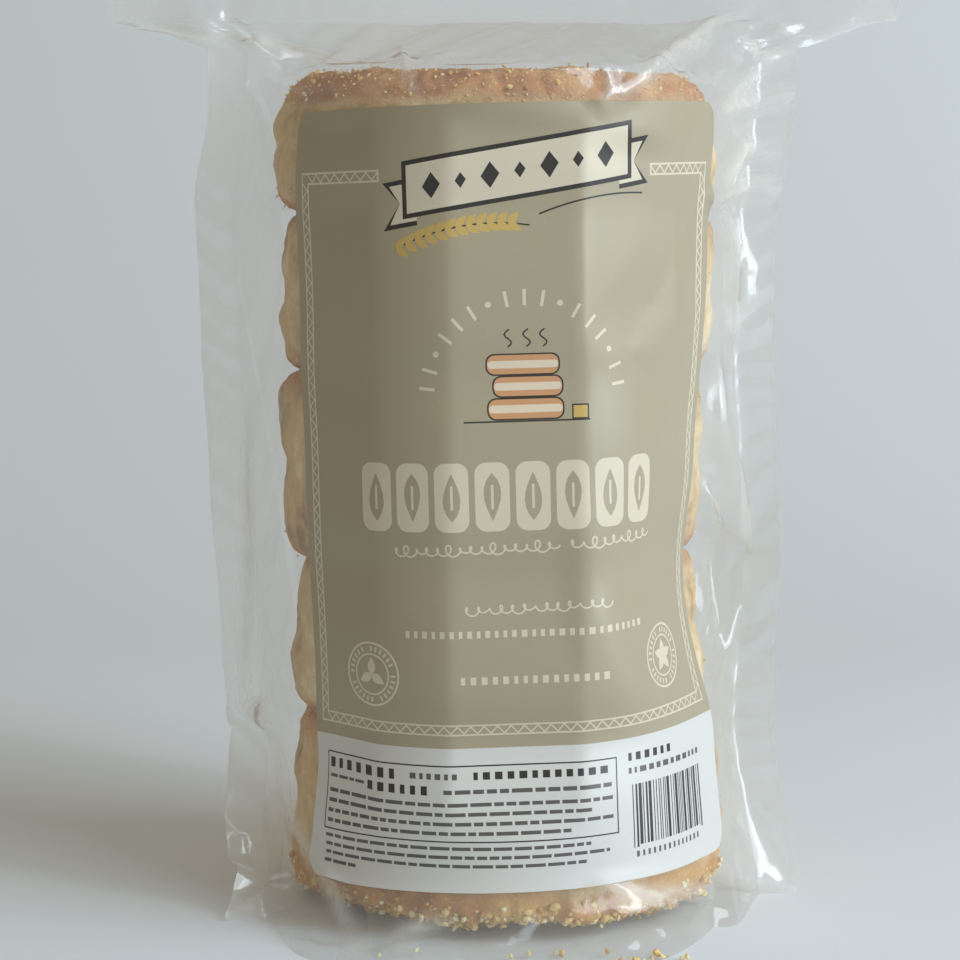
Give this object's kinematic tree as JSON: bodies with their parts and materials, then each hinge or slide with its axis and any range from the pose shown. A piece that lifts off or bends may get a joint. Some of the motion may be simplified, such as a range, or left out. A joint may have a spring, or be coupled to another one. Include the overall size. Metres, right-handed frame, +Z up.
{
  "type": "pack of english muffins",
  "caption": "Sealed clear film pouch standing upright, holding a stack of english muffins, with a paper label over its front.",
  "frame": {"origin": "on the surface it stands on, under the middle of the pack's bounding box", "axes": "+Z up through the stack, -Y out of the label, +X to the right of someone who reads the label"},
  "size_m": [0.166, 0.1091, 0.224],
  "materials": {
    "film": "clear glossy film, lightly hazed, over pale muffins with browned faces",
    "label": "satin coated paper, sage green with a white panel at its foot"
  },
  "bodies": {
    "root": {"pouch": "film", "label": "label"}
  },
  "joints": []
}
